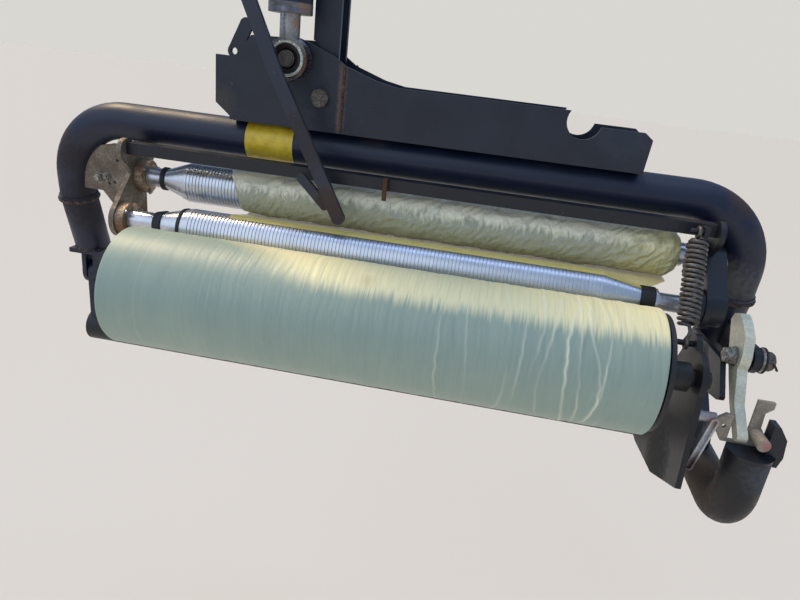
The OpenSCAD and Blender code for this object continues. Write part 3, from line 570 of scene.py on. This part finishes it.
shade = add(tree, "ShaderNodeMix", {0: wide, under: linear("#8d9f93"),
                                    over: linear("#a0b09f")}, data_type="RGBA")
sunlit_band_height = add(tree, "ShaderNodeMath", {0: hoop, 1: 0.03}, operation="MULTIPLY")
sunlit_band_height = add(tree, "ShaderNodeMath", {0: split.outputs["Z"], 1: sunlit_band_height}, operation="ADD")
upper = add(tree, "ShaderNodeMapRange", {0: sunlit_band_height, "From Min": at(0, 0, 72).z,
                                         "From Max": at(0, 0, 90).z},
            interpolation_type="SMOOTHSTEP")
# the painted sunlit top starts at a slanted painted shadow edge on the left, x + 1.6 y; the
# axis has 1.6 y = -0.3
slope, shift = 1.6, -0.3
slant = add(tree, "ShaderNodeMath", {0: split.outputs["Y"], 1: slope}, operation="MULTIPLY")
slant = add(tree, "ShaderNodeMath", {0: split.outputs["X"], 1: slant}, operation="ADD")
along = add(tree, "ShaderNodeMapRange", {
    0: slant, "From Min": at(-230, 0, 0).x + shift,
    "From Max": at(-150, 0, 0).x + shift, "To Min": 0.1, "To Max": 0.95})
# painted light: pale yellow sunlight on the roll's top, right of the painted shadow edge
painted_sunlit_band = add(tree, "ShaderNodeMath", {0: upper, 1: along}, operation="MULTIPLY")
shade = add(tree, "ShaderNodeMix", {0: painted_sunlit_band, under: shade, over: linear("#f4ebb8")},
            data_type="RGBA")
thin = add(tree, "ShaderNodeMapRange", {0: hoop, "From Min": 0.5, "From Max": 0.72,
                                        "To Max": 0.22})
shade = add(tree, "ShaderNodeMix", {0: thin, under: shade, over: linear("#84988f")},
            data_type="RGBA")
stretched = add(tree, "ShaderNodeAttribute", attribute_name="crease")
pale = add(tree, "ShaderNodeMath", {0: stretched.outputs["Fac"], 1: 0.7}, operation="MULTIPLY")
shade = add(tree, "ShaderNodeMix", {0: pale, under: shade, over: linear("#f0f0d8")},
            data_type="RGBA")
away = add(tree, "ShaderNodeVectorMath", {0: place.outputs["Object"], 1: at(-12, -38, 77)},
           operation="DISTANCE")
near = add(tree, "ShaderNodeMapRange", {0: away, "From Min": 0.016, "From Max": 0.003,
                                        "To Max": 0.5})
smudge = add(tree, "ShaderNodeMath", {0: near, 1: wide}, operation="MULTIPLY")
shade = add(tree, "ShaderNodeMix", {0: smudge, under: shade, over: linear("#8a6a3c")},
            data_type="RGBA")
bump = add(tree, "ShaderNodeBump", {"Height": hoop, "Strength": 0.32, "Distance": 0.001})
feed(tree, shader, {"Base Color": shade, "Normal": bump, "Roughness": 0.46,
                    "Subsurface Weight": 0.2, "Subsurface Radius": (0.008, 0.012, 0.008),
                    "Subsurface Scale": 0.5})


# where each long crease crosses the roll's front, how far it wanders, its width and height
creases = [(-318, 1, 1.2, 0.3), (95, 3, 1.2, 0.6), (128, 4, 1.2, 0.7), (176, 5, 1.3, 0.8),
           (196, 3, 1.2, 0.6), (214, 6, 1.6, 1.1), (236, 8, 1.4, 1.1), (262, 7, 1.7, 1.2),
           (273, 5, 1.2, 0.7), (286, 9, 1.5, 1.1), (296, 6, 1.3, 0.9), (317, 8, 1.7, 1.2)]


def crease_height(x, angle):
    height = 0
    for n, (middle, wander, width, rise) in enumerate(creases):
        line = middle + wander * noise.noise(Vector((n * 9.1, angle * 1.1, 2)))
        line += wander * 1.2 * math.sin(angle * 1.5 + n)
        line += 1.8 * noise.noise(Vector((n * 3.7, angle * 7, 5)))
        live = 0.45 + noise.noise(Vector((n * 5.3, angle * 0.9, 8)))
        height += max(0, live) * rise * math.exp(-((x - line) / width) ** 2)
    return height


# fine folds and broad rows all round, waves in the wrinkled band, and the long creases
sway_mm, fold_mm, row_mm, wave_mm, layer_mark_mm = 60, 7, 19, 12, 1.4
band_at, band_wide, smooth_to, smooth_fade = 262, 70, -330, 160


def wound(x, r, angle):
    if r < end_r:
        return 0.25 * noise.noise(Vector((r / layer_mark_mm, x, 0)))
    round_y, round_z = math.cos(angle), math.sin(angle)
    sway = 5 * noise.noise(Vector((x / sway_mm, round_y * 2.2, round_z * 2.2)))
    fold = 1 - abs(noise.noise(Vector(((x + sway) / fold_mm, round_y * 0.7, round_z * 0.7 + 4))))
    row = noise.noise(Vector(((x + sway * 2) / row_mm, round_y * 0.5, round_z * 0.5)))
    band = math.exp(-((x - band_at) / band_wide) ** 2)
    wave = noise.noise(Vector(((x + 3 * sway) / wave_mm, round_y * 1.4, round_z * 1.4 + 9)))
    lines = 0.35 + 0.65 * min(1, max(0, (x - smooth_to) / smooth_fade))
    return (0.8 * (fold - 0.8) + 0.35 * row) * lines + band * wave + crease_height(x, angle)


roll_half, roll_r, end_r, core_r, around, steps, layers = 375, 86, 85, 42.2, 144, 460, 10
layer_mm = 4.2
straight = roll_half - 1
profile = [(-roll_half, roll_r - 0.6), (-straight, roll_r)]
profile += [(-straight + 2 * straight * i / steps, roll_r) for i in range(1, steps)]
profile += [(straight, roll_r), (roll_half, roll_r - 0.6)]
profile += [(roll_half, roll_r - 2 - i * layer_mm) for i in range(layers)]
profile += [(roll_half, core_r), (-roll_half, core_r)]
profile += [(-roll_half, core_r + 4 + i * layer_mm) for i in range(layers)]
wound_roll = turned("wound_film_roll", profile, (0, 0), wound_film, around, relief=wound)
whitened = wound_roll.data.attributes.new("crease", "FLOAT", "POINT")
whitened.data.foreach_set("value", [
    min(1, crease_height(x, 2 * math.pi * k / around)) if r > end_r else 0
    for x, r in profile for k in range(around)])
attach(wound_roll, "film_roll")
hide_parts("roll_film")
# cardboard wound in a spiral: dry, matt and brown
cardboard = flecked("spiral_wound_cardboard", "#8d7350", "#b39a72", 6.25, 0.85, 7, ragged=0.7)
dress(cardboard, "roll_core")


# Tension spring. A closed coil of 5.4 mm oiled black wire, grown as a tube along its path, with
# a hook at each end: the upper one on the anchor's pin, the lower one on the cradle's pin.
def socket(group, kind, name, side="INPUT"):
    group.interface.new_socket(name=name, in_out=side, socket_type=kind)


def new_maker(name, sizes):
    group = bpy.data.node_groups.new(name, "GeometryNodeTree")
    socket(group, "NodeSocketGeometry", "Geometry")
    for key, kind in sizes.items():
        socket(group, kind, key)
    socket(group, "NodeSocketMaterial", "Finish")
    socket(group, "NodeSocketGeometry", "Geometry", "OUTPUT")
    return group, group.nodes.new("NodeGroupInput")


def close_maker(group, given, shape):
    real = add(group, "GeometryNodeRealizeInstances", {0: shape})
    skin = add(group, "GeometryNodeSetMaterial", {"Geometry": real,
                                                  "Material": given.outputs["Finish"]})
    add(group, "NodeGroupOutput", {0: skin})


def grown(name, group, base, values):
    made = bpy.data.objects.new(name, base)
    bpy.context.scene.collection.objects.link(made)
    maker = made.modifiers.new("maker", "NODES")
    maker.node_group = group
    sockets = {item.name: item.identifier for item in group.interface.items_tree
               if item.in_out == "INPUT"}
    for key, value in values.items():
        maker[sockets[key]] = value
    settled = made.evaluated_get(bpy.context.evaluated_depsgraph_get())
    mesh = bpy.data.meshes.new_from_object(settled)
    made.modifiers.remove(maker)
    made.data = mesh
    mesh.name = name
    return made


def line_mesh(name, lines):
    vertices, edges = [], []
    for line in lines:
        first = len(vertices)
        vertices += [tuple(at(*p)) for p in line]
        edges += [(first + i, first + i + 1) for i in range(len(line) - 1)]
    mesh = bpy.data.meshes.new(name)
    mesh.from_pydata(vertices, edges, [])
    return mesh


# oiled black wire with a low sheen; its lighter grey is a painted highlight on each turn, and it
# has grey-brown dust in patches
black_spring_steel = steel("oiled_black_spring_steel", "#7c7873", "#454341", "#4a3f36", 0.4,
                           0.26, 1000 / 120, metallic=0.45)
wire_maker, given = new_maker("wire_along_path", {"Wire radius": "NodeSocketFloat",
                                                  "Sides": "NodeSocketInt"})
curve = add(wire_maker, "GeometryNodeMeshToCurve", {0: given.outputs["Geometry"]})
section = add(wire_maker, "GeometryNodeCurvePrimitiveCircle", {
    "Resolution": given.outputs["Sides"], "Radius": given.outputs["Wire radius"]})
wire = add(wire_maker, "GeometryNodeCurveToMesh", {0: curve, 1: section, "Fill Caps": True})
soft = add(wire_maker, "GeometryNodeSetShadeSmooth", {"Geometry": wire})
close_maker(wire_maker, given, soft)
spring_x, top_pin, low_pin = 422, (104, 175.5), (32, 36)
length = math.hypot(top_pin[0] - low_pin[0], top_pin[1] - low_pin[1])
lean_y, lean_z = (top_pin[0] - low_pin[0]) / length, (top_pin[1] - low_pin[1]) / length


def on_spring(side, across, along):
    return (spring_x + side, low_pin[0] + along * lean_y - across * lean_z,
            low_pin[1] + along * lean_z + across * lean_y)


hook_r, coil_r, turns, turn_steps, coil_from, coil_to = 6.9, 12.3, 17.5, 24, 24, 143
low_hook_from, top_hook_from, hook_step = -150, -70, 20
path = []
for n in range(15):
    angle = math.radians(low_hook_from + hook_step * n)
    path.append(on_spring(1.5 - n * 0.1, hook_r * math.sin(angle), -hook_r * math.cos(angle)))
path.append(on_spring(2, 9, 15))
last = turns * turn_steps
for n in range(int(last) + 1):
    angle = 2 * math.pi * n / turn_steps + math.pi / 2
    drawn_in = min(1, n / 10, (last - n) / 10)
    r = coil_r * (0.55 + 0.45 * drawn_in)
    path.append(on_spring(r * math.cos(angle), r * math.sin(angle),
                          coil_from + (coil_to - coil_from) * n / last))
for n in range(14):
    angle = math.radians(top_hook_from + hook_step * n)
    path.append(on_spring(0, hook_r * math.sin(angle), length + hook_r * math.cos(angle) - 1))
coil = grown("coiled_spring", wire_maker, line_mesh("spring_path", [path]),
             {"Wire radius": 0.0027, "Sides": 10, "Finish": black_spring_steel})
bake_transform(coil)
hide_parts("tension_spring")


# Fasteners. Zinc-plated hex bolts and nuts with washers, each grown on a point that carries
# the way it faces and its size: on the gussets, the bearing flanges and the latch bolt.
bolt_maker, given = new_maker("hex_fasteners", {
    "Head radius": "NodeSocketFloat", "Head height": "NodeSocketFloat",
    "Washer radius": "NodeSocketFloat", "Washer height": "NodeSocketFloat",
    "Shank radius": "NodeSocketFloat", "Shank height": "NodeSocketFloat"})
joined = bolt_maker.nodes.new("GeometryNodeJoinGeometry")
top = None
for sides, part in [(40, "Washer"), (6, "Head"), (24, "Shank")]:
    height = given.outputs[part + " height"]
    block = add(bolt_maker, "GeometryNodeMeshCylinder", {
        "Vertices": sides, "Radius": given.outputs[part + " radius"], "Depth": height})
    middle = add(bolt_maker, "ShaderNodeMath", {0: height, 1: 0.5}, operation="MULTIPLY")
    up = middle
    if top:
        up = add(bolt_maker, "ShaderNodeMath", {0: top, 1: middle}, operation="ADD")
    top = add(bolt_maker, "ShaderNodeMath", {0: up, 1: middle}, operation="ADD")
    spot = add(bolt_maker, "ShaderNodeCombineXYZ", {"Z": up})
    moved = add(bolt_maker, "GeometryNodeTransform", {"Geometry": block, "Translation": spot})
    feed(bolt_maker, joined, {0: moved})
facing = add(bolt_maker, "GeometryNodeInputNamedAttribute", {"Name": "facing"},
             data_type="FLOAT_VECTOR")
size = add(bolt_maker, "GeometryNodeInputNamedAttribute", {"Name": "size"}, data_type="FLOAT")
turned_to = add(bolt_maker, "FunctionNodeAlignRotationToVector", {"Vector": facing}, axis="Z")
placed = add(bolt_maker, "GeometryNodeInstanceOnPoints", {
    "Points": given.outputs["Geometry"], "Instance": joined, "Rotation": turned_to,
    "Scale": size})
close_maker(bolt_maker, given, placed)


def point_mesh(name, spots):
    mesh = bpy.data.meshes.new(name)
    mesh.from_pydata([tuple(at(*s[:3])) for s in spots], [], [])
    facing = mesh.attributes.new("facing", "FLOAT_VECTOR", "POINT")
    facing.data.foreach_set("vector", [c for s in spots for c in s[3:6]])
    size = mesh.attributes.new("size", "FLOAT", "POINT")
    size.data.foreach_set("value", [s[6] for s in spots])
    return mesh


# dull zinc with a fine grain, brown in the corners
bolt_steel = steel("zinc_plated_fasteners", "#b9b8b0", "#8b877d", "#6a5a48", 0.7, 0.4, 1000 / 140)
# each spot is its x, y and z, the x, y and z that it faces, and its size
spots = [(-535, 181.8, 108, 0, -1, 0, 1), (-522, 181.8, 111, 0, -1, 0, 0.8),
         (481, 189.8, 150, 0, -1, 0, 1), (497, 189.8, 117, 0, -1, 0, 1.15)]
flange_left, flange_right, bolt_circle_r = -431.9, 437.9, 25
for axis in (front_axis, back_axis):
    for k in range(3):
        y, z = round_axis(axis, bolt_circle_r, 20 + 120 * k)
        spots += [(flange_left, y, z, 1, 0, 0, 0.5), (flange_right, y, z, -1, 0, 0, 0.5)]
fasteners = grown("frame_fasteners", bolt_maker, point_mesh("fastener_points", spots), {
    "Head radius": 0.0075, "Head height": 0.0055, "Washer radius": 0.009,
    "Washer height": 0.0016, "Shank radius": 0.004, "Shank height": 0.003,
    "Finish": bolt_steel})
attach(fasteners, "dispenser")
latch_axis = (74, 12)
latch_nut = grown("latch_bolt_nut", bolt_maker,
                  point_mesh("latch_nut_point", [(507.6, *latch_axis, -1, 0, 0, 1)]), {
    "Head radius": 0.0135, "Head height": 0.0078, "Washer radius": 0.0145,
    "Washer height": 0.001, "Shank radius": 0.0105, "Shank height": 0.006,
    "Finish": bolt_steel})
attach(latch_nut, "dispenser")


# Latch bolt's outer end: a wide zinc washer, a black nylon ring, a castle nut and a rusty
# split pin through it, all on the bolt to the right of the lug.
for name, finish, slot, profile in [
        ("latch_washer", bolt_steel, "zinc_plate", [(539.8, 8), (539.8, 17.2), (540.4, 18),
                                                    (543.2, 18), (543.8, 17.2), (543.8, 8)]),
        ("latch_nylon_ring", black_rubber, "disc_plastic", [(543.9, 8), (543.9, 19), (546.2, 19),
                                                            (546.2, 8)]),
        ("latch_castle_nut", dull_pin, "pin_steel", [(546.4, 8), (546.4, 13.4), (547.4, 14.2),
                                                     (555, 14.2), (558.6, 12.4), (558.6, 8)])]:
    ring = turned(name, profile, latch_axis, finish, 48)
    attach(ring, "dispenser")
# the pin goes down through the nut, crimped on its way, and its end is bent outwards
pin_line = [(555 + 0.6 * (i % 2), latch_axis[0] + 13.5 - i * 2.2, latch_axis[1] - 1.5 + i * 0.25)
            for i in range(14)]
pin_line += [(556 + i * 1.6, 58.8 - i * 0.6, 14 - i * 2.6) for i in range(4)]
split_pin = grown("latch_split_pin", wire_maker, line_mesh("split_pin_path", [pin_line]),
                  {"Wire radius": 0.0016, "Sides": 8, "Finish": rusty_steel})
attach(split_pin, "dispenser")


# Rod eye's bearing. A ground ring pressed into the forged eye and the black grease inside it
# ride with the rod; the inner ball ring sits on the pin.
grease, tree, shader = new_finish("black_bearing_grease")
lump_mm = 1000 / 240
place = add(tree, "ShaderNodeTexCoord")
lumps = add(tree, "ShaderNodeTexNoise", {"Vector": place.outputs["Object"], "Detail": 4,
                                         "Scale": 1000 / lump_mm})
bump = add(tree, "ShaderNodeBump", {"Height": lumps, "Strength": 0.6, "Distance": 0.0006})
feed(tree, shader, {"Base Color": linear("#1d1a19"), "Normal": bump, "Roughness": 0.3})
# ground ring: a pale, nearly clean metal
ground_steel = steel("ground_bearing_steel", "#d9dacb", "#aeb0a4", "#5c5046", 0.3, 0.35, 1000 / 120,
                     metallic=0.5)
rod_eye_axis = (-189, 336)
for name, body, finish, profile in [
        ("rod_eye_outer_ring", "rod", ground_steel, [(116.6, 20.8), (115.4, 21.4), (115.4, 23.8),
                                                     (116.6, 25), (117.4, 25), (117.4, 20.8)]),
        ("rod_eye_grease", "rod", grease, [(116.8, 14.1), (116.2, 15), (116.2, 20), (116.8, 20.7),
                                           (117.4, 20.7), (117.4, 14.1)]),
        ("rod_eye_inner_ring", "dispenser", dull_pin, [(114.6, 10.05), (114.6, 11), (115.4, 11.8),
                                                       (128, 11.9), (128, 10.05)])]:
    ring = turned(name, profile, rod_eye_axis, finish, 64, along="y")
    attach(ring, body)


# Barrel's gland. A turned steel ring that closes the barrel's lower end round the rod, with a
# shallow groove round it; it is left bare and gives the eye a blue-grey metal, brown at the right.
gland_steel = steel("turned_gland_steel", "#7d8087", "#5b5f68", "#574a42", 0.25, 0.32, 1000 / 60,
                    [((-160, 116, 404), 22, "#8f7463")], metallic=0.6)
barrel_axis = (-190, 130)
profile = [(396, 27), (395.7, 30.6), (396.3, 31.3), (402, 31.3), (402.4, 31.05), (403.2, 31.05),
           (403.6, 31.3), (409.4, 31.3), (410, 30.8), (410, 27)]
gland = turned("barrel_gland_ring", profile, barrel_axis, gland_steel, 64, along="z")
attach(gland, "barrel")


# Weld beads. Beads of overlapping ripples grown along their seams, painted over and rusty at
# the edges: the carrier's front and back seams, and round each leg at its joint and its fork.
bead_maker, given = new_maker("weld_bead", {
    "Pitch": "NodeSocketFloat", "Bead radius": "NodeSocketFloat", "Seed": "NodeSocketInt"})
curve = add(bead_maker, "GeometryNodeMeshToCurve", {0: given.outputs["Geometry"]})
steps = add(bead_maker, "GeometryNodeCurveToPoints", {
    "Curve": curve, "Length": given.outputs["Pitch"]}, mode="LENGTH")
ripple = add(bead_maker, "GeometryNodeMeshIcoSphere", {"Radius": given.outputs["Bead radius"],
                                                       "Subdivisions": 2})
soft = add(bead_maker, "GeometryNodeSetShadeSmooth", {"Geometry": ripple})
uneven = add(bead_maker, "FunctionNodeRandomValue", {0: (0.62, 0.9, 0.85), 1: (0.82, 1.15, 1.15),
                                                     "Seed": given.outputs["Seed"]},
             data_type="FLOAT_VECTOR")
placed = add(bead_maker, "GeometryNodeInstanceOnPoints", {
    "Points": steps.outputs["Points"], "Instance": soft, "Rotation": steps.outputs["Rotation"],
    "Scale": uneven})
close_maker(bead_maker, given, placed)


def ring_line(x, y, z, r, lean_deg, steps=48):
    lean = math.radians(lean_deg)
    angles = [2 * math.pi * n / steps for n in range(steps + 1)]
    return [(x + r * math.cos(a), y + r * math.sin(a) * math.cos(lean),
             z + r * math.sin(a) * math.sin(lean)) for a in angles]


# paint that has gone rusty, broken up by the ripples
weld_paint = steel("rusty_painted_weld", "#6e5a4d", "#3a302b", "#2a211c", 0.6, 0.6, 6.25,
                   metallic=0.3)
seam_x, seam_low, seam_high, legs = -110, 240, 334, (-590, 530)
seams = [[(seam_x, y, seam_low), (seam_x, y, seam_high)] for y in (147.8, 228.2)]
seams += [ring_line(x, 200.5, 64, 32.2, 11) for x in legs]
seams += [ring_line(x, 231.8, -37.5, 30.4, 0) for x in legs]
beads = grown("weld_beads", bead_maker, line_mesh("weld_seams", seams), {
    "Pitch": 0.003, "Bead radius": 0.003, "Seed": 5, "Finish": weld_paint})
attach(beads, "dispenser")


# Yellow patch. A blank vinyl sticker wrapped round the front of the guard tube, a little
# faded and blotchy, and standing proud by less than a millimetre.
vinyl, tree, shader = new_finish("faded_yellow_vinyl")
fade_mm = 1000 / 60
place = add(tree, "ShaderNodeTexCoord")
fade = add(tree, "ShaderNodeTexNoise", {"Vector": place.outputs["Object"], "Detail": 7,
                                        "Scale": 1000 / fade_mm, "Roughness": 0.65})
tone = add(tree, "ShaderNodeMapRange", {0: fade, "From Min": 0.35, "From Max": 0.65})
shade = add(tree, "ShaderNodeMix", {0: tone, under: linear("#d2ad27"),
                                    over: linear("#efd040")}, data_type="RGBA")
feed(tree, shader, {"Base Color": shade, "Roughness": 0.4})
tube_y, tube_z, inner_r, outer_r = 188, 207, 30.25, 30.65
patch_left, patch_wide, patch_deg, patch_from_deg, columns, rows = -266, 78, 144, -69, 14, 26
vertices, faces = [], []
for r in (inner_r, outer_r):
    for i in range(columns + 1):
        for j in range(rows + 1):
            angle = math.radians(patch_from_deg + patch_deg * j / rows)
            vertices.append(at(patch_left + patch_wide * i / columns,
                               tube_y - r * math.cos(angle), tube_z + r * math.sin(angle)))
block = (columns + 1) * (rows + 1)
for i in range(columns):
    for j in range(rows):
        a = i * (rows + 1) + j
        b = a + rows + 1
        faces.append((a, a + 1, b + 1, b))
        faces.append((block + a, block + b, block + b + 1, block + a + 1))
edge = [(i, 0) for i in range(columns)] + [(columns, j) for j in range(rows)]
edge += [(i, rows) for i in range(columns, 0, -1)] + [(0, j) for j in range(rows, 0, -1)]
edge = [i * (rows + 1) + j for i, j in edge]
for k, a in enumerate(edge):
    b = edge[(k + 1) % len(edge)]
    faces.append((a, b, block + b, block + a))
sticker = add_piece("yellow_patch", vertices, faces, vinyl)
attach(sticker, "dispenser")
